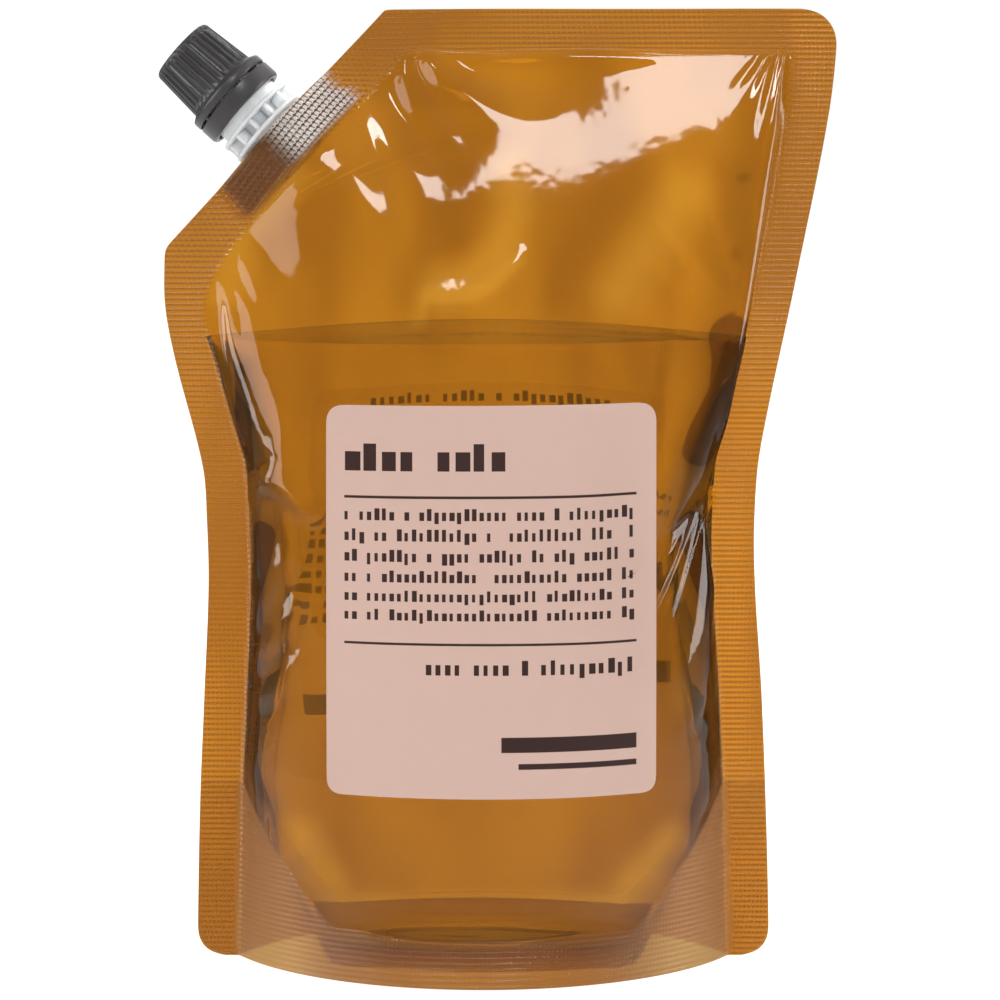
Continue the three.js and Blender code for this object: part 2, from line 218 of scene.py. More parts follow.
class Nodes:
    def __init__(self, owner, output="ShaderNodeOutputMaterial"):
        self.tree = owner.node_tree
        self.output = self.add(output)

    def add(self, kind, **settings):
        node = self.tree.nodes.new(kind)
        for key, value in settings.items():
            setattr(node, key, value)
        return node

    def feed(self, socket, value):
        if isinstance(value, bpy.types.NodeSocket):
            self.tree.links.new(value, socket)
        elif value is not None:
            socket.default_value = value

    def math(self, operation, *values):
        node = self.add("ShaderNodeMath", operation=operation)
        for socket, value in zip(node.inputs, values):
            self.feed(socket, value)
        return node.outputs[0]

    def times(self, a, b):
        return self.math("MULTIPLY", a, b)

    def scaled(self, value, factor, offset):
        return self.math("MULTIPLY_ADD", value, factor, offset)

    def mix(self, factor, a, b):
        node = self.add("ShaderNodeMix", data_type="RGBA")
        self.feed(node.inputs[0], factor)
        self.feed(node.inputs[6], a)
        self.feed(node.inputs[7], b)
        return node.outputs[2]

    def mixShader(self, factor, a, b):
        node = self.add("ShaderNodeMixShader")
        self.feed(node.inputs[0], factor)
        self.feed(node.inputs[1], a)
        self.feed(node.inputs[2], b)
        return node.outputs[0]

    def step(self, value, start, end, low=0.0, high=1.0):
        node = self.add("ShaderNodeMapRange", interpolation_type="SMOOTHSTEP")
        for socket, number in zip(node.inputs, (value, start, end, low, high)):
            self.feed(socket, number)
        return node.outputs[0]

    def noise(self, vector, scale, detail=2.0, roughness=0.5):
        node = self.add("ShaderNodeTexNoise")
        self.feed(node.inputs["Vector"], vector)
        node.inputs["Scale"].default_value = scale
        node.inputs["Detail"].default_value = detail
        node.inputs["Roughness"].default_value = roughness
        return node.outputs["Fac"]

    def wave(self, value, period):  # from 0 to 1 and back, once a period
        return self.scaled(self.math("SINE", self.times(value, 2 * math.pi / period)), 0.5, 0.5)

    def bump(self, height, distance, strength=1.0, normal=None):
        node = self.add("ShaderNodeBump")
        node.inputs["Strength"].default_value = strength
        node.inputs["Distance"].default_value = distance
        self.feed(node.inputs["Height"], height)
        self.feed(node.inputs["Normal"], normal)
        return node.outputs[0]

    def pattern(self):  # the piece's own map, in metres over the flat film
        uv = self.add("ShaderNodeUVMap", uv_map="pattern").outputs[0]
        split = self.add("ShaderNodeSeparateXYZ")
        self.feed(split.inputs[0], uv)
        return uv, split.outputs[0], split.outputs[1]

    def position(self):
        return self.add("ShaderNodeTexCoord").outputs["Object"]

    def attribute(self, name):
        return self.add("ShaderNodeAttribute", attribute_name=name).outputs["Fac"]

    def sheetGloss(self, ior, normal=None):  # the same reflection from either side of a thin sheet
        node = self.add("ShaderNodeFresnel")
        behind = self.add("ShaderNodeNewGeometry").outputs["Backfacing"]
        self.feed(node.inputs["IOR"], self.scaled(behind, 1 / ior - ior, ior))
        self.feed(node.inputs["Normal"], normal)
        return node.outputs[0]

    def twoSided(self, color, through, normal=None):  # matt, with a share of the light coming through it
        front, behind = self.add("ShaderNodeBsdfDiffuse"), self.add("ShaderNodeBsdfTranslucent")
        for side in (front, behind):
            side.inputs["Color"].default_value = color
            self.feed(side.inputs["Normal"], normal)
        return self.mixShader(through, front.outputs[0], behind.outputs[0])

    def finish(self, shader):
        self.feed(self.output.inputs["Surface"], shader)


def newMaterial(name):
    material = bpy.data.materials.new(name)
    material.use_nodes = True
    material.node_tree.nodes.clear()
    return material, Nodes(material)


film = {
    # painted shade: the dark tint laid along folds of the front film
    "paintedShadeTint": (0.22, 0.11, 0.06, 1),
    "paintedShadeEdge": 0.92,
    "paintedShadeSoft": 0.7,
    # painted light: a brighter, yellower tint where the fold strokes are above 0
    "paintedLightTint": (0.90, 0.66, 0.22, 1),
    "paintedLightShare": 0.55,
    # painted shade: the film over the spout's base is tinted dark brown
    "spoutShadeTint": (0.34, 0.16, 0.08, 1),
    "glow": (0.95, 0.60, 0.13, 1),
    "paintedLightGlow": 0.08,  # more glow where the light is painted on
    "toneShare": 0.55,
    "haze": (0.50, 0.31, 0.20, 1),
    "sealHaze": 0.02,
    # painted highlight: pale matt squares on the knurl over the spout's base, on its upper half only
    "paintedGlint": (1.0, 0.93, 0.88, 1),
    "paintedGlintShare": 0.95,
    "gloss": 0.05,
    "sealGloss": 0.20,
    "rib": 0.0012,  # pitch of the ribs pressed into the seals
    "knurl": 0.0012,
    "knurlRow": 0.00095,
    "ior": 1.5,
}
filmLooks = {
    "amberFilm": {
        "tint": (0.66, 0.40, 0.085, 1),
        "seal": (0.70, 0.43, 0.10, 1),
        # darker tint of the pressed ribs, painted shade in the emboss; random deeper patches use it too
        "rib": (0.44, 0.23, 0.045, 1),
        "base": (0.70, 0.43, 0.10, 1),
        "glowShare": 0.13,
        "baseHaze": 0.50,
    },
    "gussetAmber": {
        "tint": (0.985, 0.95, 0.84, 1),
        "seal": (1.0, 1.0, 1.0, 1),
        "rib": (1.0, 0.98, 0.90, 1),
        "base": (0.62, 0.42, 0.26, 1),
        "glowShare": 0.06,
        "baseHaze": 0.0,
    },
}


def knurled(n, u, v):  # staggered bumps along the slanting edge
    c, s = math.cos(pouch["slantAngle"]), math.sin(pouch["slantAngle"])
    along = n.math("ADD", n.times(u, c), n.times(v, s))
    out = n.math("SUBTRACT", n.times(v, c), n.times(u, s))
    row = n.math("FLOOR", n.math("DIVIDE", out, film["knurlRow"]))
    shifted = n.math("ADD", along, n.times(row, film["knurl"] / 2))
    return n.times(n.wave(shifted, film["knurl"]), n.wave(out, film["knurlRow"]))


def mottle(n, uv):  # slanting patches of a deeper amber
    turned = n.add("ShaderNodeMapping")
    n.feed(turned.inputs["Vector"], uv)
    turned.inputs["Rotation"].default_value = (0, 0, math.radians(-35))
    turned.inputs["Scale"].default_value = (1.0, 0.45, 1.0)
    return n.step(n.noise(turned.outputs[0], 34, 2, 0.45), 0.38, 0.62, 0.0, film["toneShare"])


def paintedShadeOfFolds(n, uv, shadeAndLight):  # how much painted shade a fold gets, with an uneven edge
    uneven = n.scaled(n.noise(uv, 55, 2, 0.5), 0.7, -0.35)
    shadeAmount = n.times(shadeAndLight, -1.0)
    edge = n.step(n.math("SUBTRACT", shadeAmount, uneven), 0.40, 0.56, 0.0, film["paintedShadeEdge"])
    return n.math("MAXIMUM", edge, n.times(shadeAmount, film["paintedShadeSoft"]))


def filmMaterial(name):
    look = filmLooks[name]
    material, n = newMaterial(name)
    uv, u, v = n.pattern()
    weld, low = n.attribute("weld"), n.attribute("baseWeld")
    spout, shadeAndLight = n.attribute("spoutWeld"), n.attribute("paintedShadeAndLight")
    ribs = n.times(n.wave(v, film["rib"]), n.scaled(n.wave(u, film["rib"] * 0.8), 0.4, 0.6))
    knurl = knurled(n, u, v)
    pressed = n.times(n.math("SUBTRACT", 1.0, spout), n.times(ribs, weld))
    softNormal = n.bump(n.noise(uv, 70, 3, 0.5), 0.0006, 0.22)
    normal = n.bump(pressed, 0.0003, 0.7, softNormal)
    normal = n.bump(n.times(knurl, spout), 0.0006, 0.9, normal)

    # the pressed ribs take the rib tint as painted shade; random slanting patches take it too
    shade = n.math("MAXIMUM", n.times(pressed, 0.85), mottle(n, uv))
    color = n.mix(shade, n.mix(weld, look["tint"], look["seal"]), look["rib"])
    # painted shade along the folds, and painted light where the strokes are above 0
    paintedShade = paintedShadeOfFolds(n, uv, shadeAndLight)
    paintedLight = n.math("MAXIMUM", shadeAndLight, 0.0)
    # the painted light along the folds
    color = n.mix(n.times(paintedLight, film["paintedLightShare"]), color, film["paintedLightTint"])
    color = n.mix(low, n.mix(paintedShade, color, film["paintedShadeTint"]), look["base"])
    clear = n.add("ShaderNodeBsdfTransparent")
    # painted shade over the spout's base
    n.feed(clear.inputs[0], n.mix(spout, color, film["spoutShadeTint"]))
    share = n.times(n.scaled(paintedLight, film["paintedLightGlow"], look["glowShare"]), n.scaled(paintedShade, -0.75, 1.0))
    body = n.mixShader(share, clear.outputs[0], n.twoSided(film["glow"], 0.75, softNormal))

    gloss = n.add("ShaderNodeBsdfGlossy")
    n.feed(gloss.inputs["Roughness"], n.scaled(weld, film["sealGloss"] - film["gloss"], film["gloss"]))
    n.feed(gloss.inputs["Normal"], normal)
    shader = n.mixShader(n.sheetGloss(film["ior"], normal), body, gloss.outputs[0])
    blotch = n.scaled(n.noise(uv, 60, 4, 0.6), 0.5, 0.75)
    hazeShare = n.scaled(n.times(low, blotch), look["baseHaze"], n.times(weld, film["sealHaze"]))
    shader = n.mixShader(hazeShare, shader, n.twoSided(film["haze"], 0.5, normal))
    # painted highlight on the knurl, over the upper half of the spout's base
    paintedGlint = n.times(n.times(n.attribute("spoutGlintSide"), spout), n.step(knurl, 0.02, 0.12))
    paintedGlintShader = n.twoSided(film["paintedGlint"], 0.0, normal)
    n.finish(n.mixShader(n.times(paintedGlint, film["paintedGlintShare"]), shader, paintedGlintShader))
    return material


def soapMaterial():
    material, n = newMaterial("soapClear")
    glass = n.add("ShaderNodeBsdfGlass")
    glass.inputs["Color"].default_value = (0.93, 0.90, 0.86, 1)
    glass.inputs["IOR"].default_value = 1.34
    glass.inputs["Roughness"].default_value = 0.0
    clear = n.add("ShaderNodeBsdfTransparent")
    clear.inputs[0].default_value = (0.97, 0.93, 0.85, 1)
    path = n.add("ShaderNodeLightPath")
    n.finish(n.mixShader(path.outputs["Is Shadow Ray"], glass.outputs[0], clear.outputs[0]))
    return material


def plasticMaterial(name, color, roughness, grain, subsurface=0.0):
    material, n = newMaterial(name)
    shader = n.add("ShaderNodeBsdfPrincipled")
    where = n.position()
    tone = n.noise(where, 900, 3)
    darker = tuple(c * 0.82 for c in color[:3]) + (1,)
    n.feed(shader.inputs["Base Color"], n.mix(tone, darker, color))
    n.feed(shader.inputs["Roughness"], n.scaled(n.noise(where, 400, 2), 0.12, roughness - 0.06))
    n.feed(shader.inputs["Normal"], n.bump(n.noise(where, 2600, 2), grain))
    if subsurface:
        shader.inputs["Subsurface Weight"].default_value = subsurface
        shader.inputs["Subsurface Radius"].default_value = (1, 1, 1)
        shader.inputs["Subsurface Scale"].default_value = 0.003
    n.finish(shader.outputs[0])
    return material


amberFilm = filmMaterial("amberFilm")
gussetAmber = filmMaterial("gussetAmber")
clearSoap = soapMaterial()
blackPlastic = plasticMaterial("blackPlastic", (0.070, 0.066, 0.066, 1), 0.30, 0.00002)
naturalPlastic = plasticMaterial("naturalPlastic", (0.92, 0.94, 0.95, 1), 0.32, 0.00001, 0.6)
linerFoam = plasticMaterial("linerFoam", (0.86, 0.86, 0.83, 1), 0.85, 0.00004)
print("materials ready")


# Film panels

def gridCell(vert, across, up):  # which cell corner of a new grid a vertex is
    return round((vert.co.x + 1) / 2 * across), round((vert.co.y + 1) / 2 * up)


def layMap(bm, layer, maps):
    for face in bm.faces:
        for loop in face.loops:
            loop[layer].uv = maps[loop.vert]


# fold above the label with painted light along it, which stands out of the film a little too
upperFold = [(-19.4, 143.5), (-18.3, 149.5), (-6.0, 149.5), (-0.4, 151.7), (6.3, 157.3)]
cloth = {
    "sealCells": 5,
    "across": 72,
    "skirtCells": 14,
    "up": 104,
    "topCells": 7,
    "scale": 10.0,  # the solver wants a bigger sheet
    "frames": 26,
    "fillFrames": 15,
    "airShare": 0.5,  # pressure in the empty top, as a share of the pressure at the base
    "airFrom": 146.0,
    "solver": {
        "quality": 8,
        "mass": 0.01,
        "tension_stiffness": 60.0,
        "compression_stiffness": 60.0,
        "shear_stiffness": 30.0,
        "bending_model": "ANGULAR",
        "bending_stiffness": 0.04,
        "tension_damping": 5,
        "compression_damping": 5,
        "shear_damping": 5,
        "bending_damping": 0.5,
        "air_damping": 2,
        "use_pressure": True,
        "uniform_pressure_force": 50.0,
    },
    "frontLength": 1.02,
    "backLength": 1.0,
    # creases held in the front film: from (x, v) to (x, v), how far in, and their half width
    "creases": [
        ((33.4, 94.2), (37.0, 96.2), 4.0, 1.4),
        ((37.0, 96.2), (50.2, 106.4), 2.8, 1.0),
    ],
    # painted shade (below 0) and painted light along folds of the front film: a path of (x, v), its half
    # width and how much
    "shadeAndLightStrokes": [
        ([(-49.5, 97), (-52.5, 84), (-54.0, 66), (-54.5, 46), (-51.0, 34), (-48.0, 30)], 6.5, -1.0),
        ([(-56.5, 134), (-54.5, 121), (-53.0, 112)], 4.5, -0.7),
        ([(53.0, 140), (50.0, 128), (45.0, 116)], 7.0, -1.0),
        ([(44.0, 99), (46.0, 87), (49.5, 77), (50.0, 60), (49.0, 41), (44.5, 28), (42.0, 24)], 6.5, -1.0),
        ([(57.5, 176), (55.0, 158), (53.0, 142)], 8.0, -0.42),
        (upperFold, 2.6, 0.9),
        ([(-14.0, 151), (-6.0, 153), (1.0, 158), (4.0, 168), (2.0, 177)], 9.0, 1.2),
        ([(-30.0, 176), (-27.0, 160), (-24.0, 150)], 6.0, -0.22),
        ([(-10.0, 176), (-13.0, 166), (-10.0, 160)], 7.0, -0.22),
        ([(46.0, 172), (38.0, 160), (31.0, 150)], 10.0, 1.2),
        ([(28.0, 170), (20.0, 158), (14.0, 148)], 7.0, -0.2),
        ([(-60.5, 150), (-57.0, 163), (-44.0, 176)], 5.0, 0.9),
        ([(41.0, 92), (42.0, 76), (42.0, 60)], 5.0, 0.5),
        ([(-42.0, 31), (-33.0, 16), (28.0, 16), (40.0, 30)], 7.0, 1.4),
    ],
    # ridges standing out of the front film: a path of (x, v), height and half width
    "ridges": [
        (upperFold, 0.8, 2.2),
        ([(-54.5, 105.5), (-50.5, 109.5), (-46.0, 108.5), (-40.0, 102.5)], 1.1, 3.6),
    ],
}


filmCells = cloth["across"] + 2 * cloth["sealCells"]  # over a film's whole width


def fromPath(x, v, path):  # how far a point of the film lies from a line of points
    where, nearest = Vector((x, v)), 1000.0
    for start, end in zip(path, path[1:]):
        a, b = Vector(start), Vector(end)
        share = min(max((where - a).dot(b - a) / (b - a).length_squared, 0), 1)
        nearest = min(nearest, (where - a.lerp(b, share)).length)
    return nearest


def creaseDepth(x, v):
    near = [deep for start, end, deep, half in cloth["creases"] if fromPath(x, v, (start, end)) < half]
    return max(near, default=0)


# painted shade (below 0) and painted light at a point of the front film, summed over the strokes
def paintedShadeAndLight(x, v):
    tone = 0
    for path, half, amount in cloth["shadeAndLightStrokes"]:
        tone += amount * (1 - ease(fromPath(x, v, path) / half, 0, 1))
    return tone


def station(i, j):
    cells, seal = cloth["across"], cloth["sealCells"]
    if i < seal:
        column = -1 - (seal - i) / seal / 3
    elif i > cells + seal:
        column = 1 + (i - cells - seal) / seal / 3
    else:
        column = -1 + 2 * (i - seal) / cells
    skirt, up, weld = cloth["skirtCells"], cloth["up"], weldHeight(column)
    if j <= skirt:
        v = weld * (j / skirt) ** 1.5
    elif j <= skirt + up:
        v = weld + (pouch["topSeam"] - weld) * (j - skirt) / up
    else:
        v = pouch["top"] - pouch["sealWidth"] * (1 - (j - skirt - up) / cloth["topCells"]) ** 1.6
    return column, v


def flatX(column, v, depth):  # where the film lay across the pouch before it was filled
    left, right = seams(v)
    angle = 2 * math.atan(2 * depth(v) / (right - left)) if v < pouch["topSeam"] else 0
    half = (right - left) / 2 * (angle / math.sin(angle) if angle > 0.001 else 1)
    if abs(column) <= 1:
        return (left + right) / 2 + half * column
    return (left + right) / 2 + math.copysign(half + (abs(column) - 1) * 3 * pouch["sealWidth"], column)


def makePanel(name, side):
    depth = frontDepth if side < 0 else backDepth
    length = cloth["frontLength"] if side < 0 else cloth["backLength"]
    up = cloth["skirtCells"] + cloth["up"] + cloth["topCells"]
    bm = bmesh.new()
    bmesh.ops.create_grid(bm, x_segments=filmCells, y_segments=up, size=1)
    weldLayer, baseLayer, spoutLayer, glintSideLayer, paintedShadeAndLightLayer = (
        bm.verts.layers.float.new(layer)
        for layer in ("weld", "baseWeld", "spoutWeld", "spoutGlintSide", "paintedShadeAndLight")
    )
    uvLayer = bm.loops.layers.uv.new("pattern")
    flat, held, push, maps = [], [], [], {}
    for vert in bm.verts:
        i, j = gridCell(vert, filmCells, up)
        column, v = station(i, j)
        x = columnX(column, v)
        bulge = depth(v) * lens(x, v) if v < pouch["topSeam"] else 0
        crease = creaseDepth(x, v) if side < 0 else 0
        h = side * (sealOffset(v) + bulge - crease + spoutLift(x, v)) + sealWave(x, v) * (1 - lens(x, v))
        vert.co = place(x, h, v)
        along, out = fromSpout(x, v)
        onSpout = out > -pouch["spoutWeld"] and abs(along) < pouch["spoutHalf"]
        above = j - cloth["skirtCells"]  # rows above the base seal
        free = abs(column) < 0.9999 and 0 < above < cloth["up"] and not onSpout and not crease
        held.append(0.0 if free else 1.0)
        deep = min(max(1 - vert.co.z / mm / cloth["airFrom"], 0), 1)
        push.append(cloth["airShare"] + (1 - cloth["airShare"]) * deep)
        flat.append(Vector((flatX(column, v, depth), side * 0.02, v * length)) * mm)
        maps[vert] = (flatX(column, v, depth) * mm, v * mm)
        sealed = abs(column) > 0.999 or above <= 0 or above >= cloth["up"]
        vert[weldLayer] = 1.0 if sealed or onSpout else 0.0
        inner = ease(1.0 - abs(column), -0.03, 0.03) * (0.22 + 0.78 * ease(abs(column), 0.25, 0.6))
        if above > 0:  # the front's haze fades out a little above the base seal
            inner *= 0.45 * (1 - ease(above, 2, 6)) if side < 0 else 0
        vert[baseLayer] = inner
        vert[spoutLayer] = 1.0 if onSpout and abs(along) < 17.5 else 0.0
        # the upper half of the spout's base gets the painted highlight
        vert[glintSideLayer] = ease(along, -3.5, 1.5)
        # the front film carries the painted shade and light of its folds
        vert[paintedShadeAndLightLayer] = paintedShadeAndLight(x, v) if side < 0 and abs(column) < 0.999 else 0.0
    layMap(bm, uvLayer, maps)
    if side > 0:
        bmesh.ops.reverse_faces(bm, faces=bm.faces)
    panel = addPiece(name, bm, amberFilm)
    prepareCloth(panel, flat, held, push)
    return panel


def prepareCloth(panel, flat, held, push):
    mesh, scale = panel.data, cloth["scale"]
    filled = [vert.co * scale for vert in mesh.vertices]
    for vert, co in zip(mesh.vertices, flat):
        vert.co = co * scale
    panel.shape_key_add(name="flat")
    key = panel.shape_key_add(name="filled")
    for point, co in zip(key.data, filled):
        point.co = co
    for value, time in ((0, 1), (1, cloth["fillFrames"])):
        key.value = value
        key.keyframe_insert("value", frame=time)
    heldGroup = panel.vertex_groups.new(name="held")
    pushGroup = panel.vertex_groups.new(name="push")
    for index, (hold, force) in enumerate(zip(held, push)):
        heldGroup.add([index], hold, "REPLACE")
        pushGroup.add([index], force, "REPLACE")
    modifier = panel.modifiers.new("film", "CLOTH")
    for setting, value in cloth["solver"].items():
        setattr(modifier.settings, setting, value)
    modifier.settings.vertex_group_pressure = "push"
    modifier.settings.vertex_group_mass = "held"
    modifier.settings.effector_weights.gravity = 0
    modifier.collision_settings.use_collision = False
    modifier.point_cache.frame_start = 1
    modifier.point_cache.frame_end = cloth["frames"]


def inflate(panels):
    scene = bpy.context.scene
    for time in range(1, cloth["frames"] + 1):
        scene.frame_set(time)
    graph = bpy.context.evaluated_depsgraph_get()
    results = [bpy.data.meshes.new_from_object(panel.evaluated_get(graph)) for panel in panels]
    for panel, mesh in zip(panels, results):
        panel.modifiers.clear()
        panel.shape_key_clear()
        panel.vertex_groups.clear()
        mesh.transform(Matrix.Scale(1 / cloth["scale"], 4))
        panel.data = mesh
    for action in list(bpy.data.actions):
        bpy.data.actions.remove(action)
    scene.frame_set(1)


def smoothOnce(piece):
    modifier = piece.modifiers.new("smooth", "SUBSURF")
    modifier.levels = modifier.render_levels = 1


def raiseRidges(panel):
    moves = []
    for index, vert in enumerate(panel.data.vertices):
        column, v = station(index % (filmCells + 1), index // (filmCells + 1))
        for path, height, half in cloth["ridges"]:
            near = fromPath(columnX(column, v), v, path) / half
            if near < 1 and abs(column) < 0.99:
                moves.append((vert, vert.normal * height * mm * (1 - near**2) ** 2))
    for vert, move in moves:
        vert.co += move


frontFilm = makePanel("frontFilm", -1)
backFilm = makePanel("backFilm", 1)
inflate([frontFilm, backFilm])
raiseRidges(frontFilm)
for panel, node in ((frontFilm, "front_panel"), (backFilm, "back_panel")):
    smoothOnce(panel)
    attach(panel, "pouch")
    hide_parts(node)
print("film panels ready")


# Gusset

gusset = {
    "upCells": 8,
    "overCells": 14,
    "overLength": 80,
    "crumple": 1.6,
    "mapHeight": 60,  # where the film's width is taken for its map
}


def againstPanel(column, side, v):  # x and h of the gusset where it lies on a panel
    x = columnX(column, v)
    depth = frontDepth if side < 0 else backDepth
    return x, side * (0.08 + depth(v) * lens(x, v)) + sealWave(x, v) * (1 - lens(x, v))


def makeGusset():
    up, over = gusset["upCells"], gusset["overCells"]
    rows = 2 * up + over
    bm = bmesh.new()
    bmesh.ops.create_grid(bm, x_segments=filmCells, y_segments=rows, size=1)
    weldLayer = bm.verts.layers.float.new("weld")
    baseLayer = bm.verts.layers.float.new("baseWeld")
    uvLayer = bm.loops.layers.uv.new("pattern")
    maps = {}
    for vert in bm.verts:
        i, j = gridCell(vert, filmCells, rows)
        column, _ = station(i, 0)
        weld = weldHeight(column)
        if j < up or j > up + over:
            side = -1 if j < up else 1
            v = weld * (min(j, rows - j) / up) ** 1.5
            x, h = againstPanel(column, side, v)
            length = v
        else:
            t = (j - up) / over
            x, front = againstPanel(column, -1, weld)
            _, back = againstPanel(column, 1, weld)
            h = front + (back - front) * t
            crumple = noise.noise(Vector((x * 0.05, h * 0.09, 2.0))) * math.sin(math.pi * t)
            v = max(floorHeight(column, t) + gusset["crumple"] * crumple, 0.1)
            length = weld + t * gusset["overLength"]
        vert.co = place(x, h, v)
        maps[vert] = (columnX(column, gusset["mapHeight"]) * mm, length * mm)
        vert[weldLayer] = 1.0 if abs(column) > 0.999 or j <= up or j >= up + over else 0.0
        vert[baseLayer] = (1 - ease(abs(column), 0.45, 0.75)) if j <= up + 1 or j >= up + over - 1 else 0.0
    layMap(bm, uvLayer, maps)
    return addPiece("gussetFilm", bm, gussetAmber)


gussetFilm = makeGusset()
smoothOnce(gussetFilm)
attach(gussetFilm, "pouch")
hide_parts("bottom_gusset")
print("gusset ready")


# Soap: the space inside the film, cut level

def filmVertex(panel, i, j):
    return panel.data.vertices[j * (filmCells + 1) + i]


def makeSoap():
    bm = bmesh.new()
    seal, skirt = cloth["sealCells"], cloth["skirtCells"]
    cells, up, over = cloth["across"], cloth["up"], gusset["overCells"]
    clearance = 0.15 * mm

    def middle(i, j):
        front, back = (filmVertex(panel, i + seal, j + skirt) for panel in (frontFilm, backFilm))
        return (front.co + back.co) / 2

    for panel in (frontFilm, backFilm):
        grid = bmesh.ops.create_grid(bm, x_segments=cells, y_segments=up, size=1)["verts"]
        for vert in grid:
            i, j = gridCell(vert, cells, up)
            if i in (0, cells):
                vert.co = middle(i, j)
            else:
                source = filmVertex(panel, i + seal, j + skirt)
                vert.co = source.co - source.normal * clearance
    base = bmesh.ops.create_grid(bm, x_segments=cells, y_segments=over, size=1)["verts"]
    for vert in base:
        i, k = gridCell(vert, cells, over)
        if i in (0, cells):
            vert.co = middle(i, 0)
        elif k in (0, over):
            panel = frontFilm if k == 0 else backFilm
            source = filmVertex(panel, i + seal, skirt)
            vert.co = source.co - source.normal * clearance
        else:
            below = gussetFilm.data.vertices[(k + gusset["upCells"]) * (filmCells + 1) + i + seal]
            vert.co = below.co + Vector((0, 0, clearance))
    bmesh.ops.remove_doubles(bm, verts=bm.verts, dist=0.02 * mm)
    cut = bmesh.ops.bisect_plane(
        bm, geom=bm.verts[:] + bm.edges[:] + bm.faces[:], plane_co=(0, 0, pouch["soapLevel"] * mm),
        plane_no=(0, 0, 1), clear_outer=True,
    )
    rim = [edge for edge in cut["geom_cut"] if isinstance(edge, bmesh.types.BMEdge)]
    bmesh.ops.holes_fill(bm, edges=rim, sides=0)
    bmesh.ops.recalc_face_normals(bm, faces=bm.faces)
    piece = addPiece("soapBody", bm, clearSoap)
    for face in piece.data.polygons:
        face.use_smooth = len(face.vertices) < 8
    return piece


soapBody = makeSoap()
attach(soapBody, "pouch")
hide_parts("soap")
print("soap ready", len(soapBody.data.polygons))


# Labels: sheets laid on the filled film

labels = {
    "front": {"x": (-36.3, 36.9), "v": (42.0, 125.5), "side": -1},
    "back": {"x": (-38.0, 38.0), "v": (38.0, 128.0), "side": 1},
    "corner": 3.2,
    "cells": (40, 48),
    "stiffness": 10,  # rounds of smoothing of the film's creases under the label
    "lift": 0.12,
    "ink": (0.050, 0.020, 0.016, 1),
    "pink": (0.745, 0.510, 0.425, 1),
}


def filmSurface(panel):
    bm = bmesh.new()
    bm.from_mesh(panel.data)
    tree = BVHTree.FromBMesh(bm)
    bm.free()
    return tree


def makeLabel(name, size, panel, material):
    tree = filmSurface(panel)
    side = size["side"]
    columns, rows = labels["cells"]
    (x0, x1), (v0, v1) = size["x"], size["v"]
    depth = frontDepth if side < 0 else backDepth
    bm = bmesh.new()
    bmesh.ops.create_grid(bm, x_segments=columns, y_segments=rows, size=1)
    uvLayer = bm.loops.layers.uv.new("pattern")
    grid, maps = {}, {}
    for vert in bm.verts:
        i, j = gridCell(vert, columns, rows)
        edge = min(j, rows - j)
        inset = labels["corner"]
        step = ((v1 - v0) - 2 * inset) / (rows - 8)
        fromEnd = inset * (edge / 4) ** 1.7 if edge < 4 else inset + (edge - 4) * step
        v = v0 + fromEnd if j < rows / 2 else v1 - fromEnd
        margin = cornerInset(inset, fromEnd)
        x = x0 + margin + (x1 - x0 - 2 * margin) * i / columns
        guess = place(x, side * depth(v), v)
        hit = tree.ray_cast(guess + Vector((0, side * 0.05, 0)), Vector((0, -side, 0)))[0]
        vert.co = hit if hit else guess
        grid[i, j] = vert
        maps[vert] = ((x - x0) * mm, (v - v0) * mm)
    filmY = {key: vert.co.y for key, vert in grid.items()}
    stiff = dict(filmY)
    for _ in range(labels["stiffness"]):
        stiff = {
            (i, j): sum(stiff.get((i + a, j + b), y) for a, b in ((-1, 0), (1, 0), (0, -1), (0, 1))) / 4
            for (i, j), y in stiff.items()
        }
    for key, vert in grid.items():
        proud = max(side * (stiff[key] - filmY[key]), 0)
        vert.co.y = filmY[key] + side * (proud + labels["lift"] * mm)
    layMap(bm, uvLayer, maps)
    if side > 0:
        bmesh.ops.reverse_faces(bm, faces=bm.faces)
    piece = addPiece(name, bm, material)
    smoothOnce(piece)
    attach(piece, "pouch")
    return piece


def within(n, value, low, high, soft=0.00008):  # 1 inside a band, with soft edges
    return n.times(n.step(value, low - soft, low + soft), n.step(value, high - soft, high + soft, 1.0, 0.0))


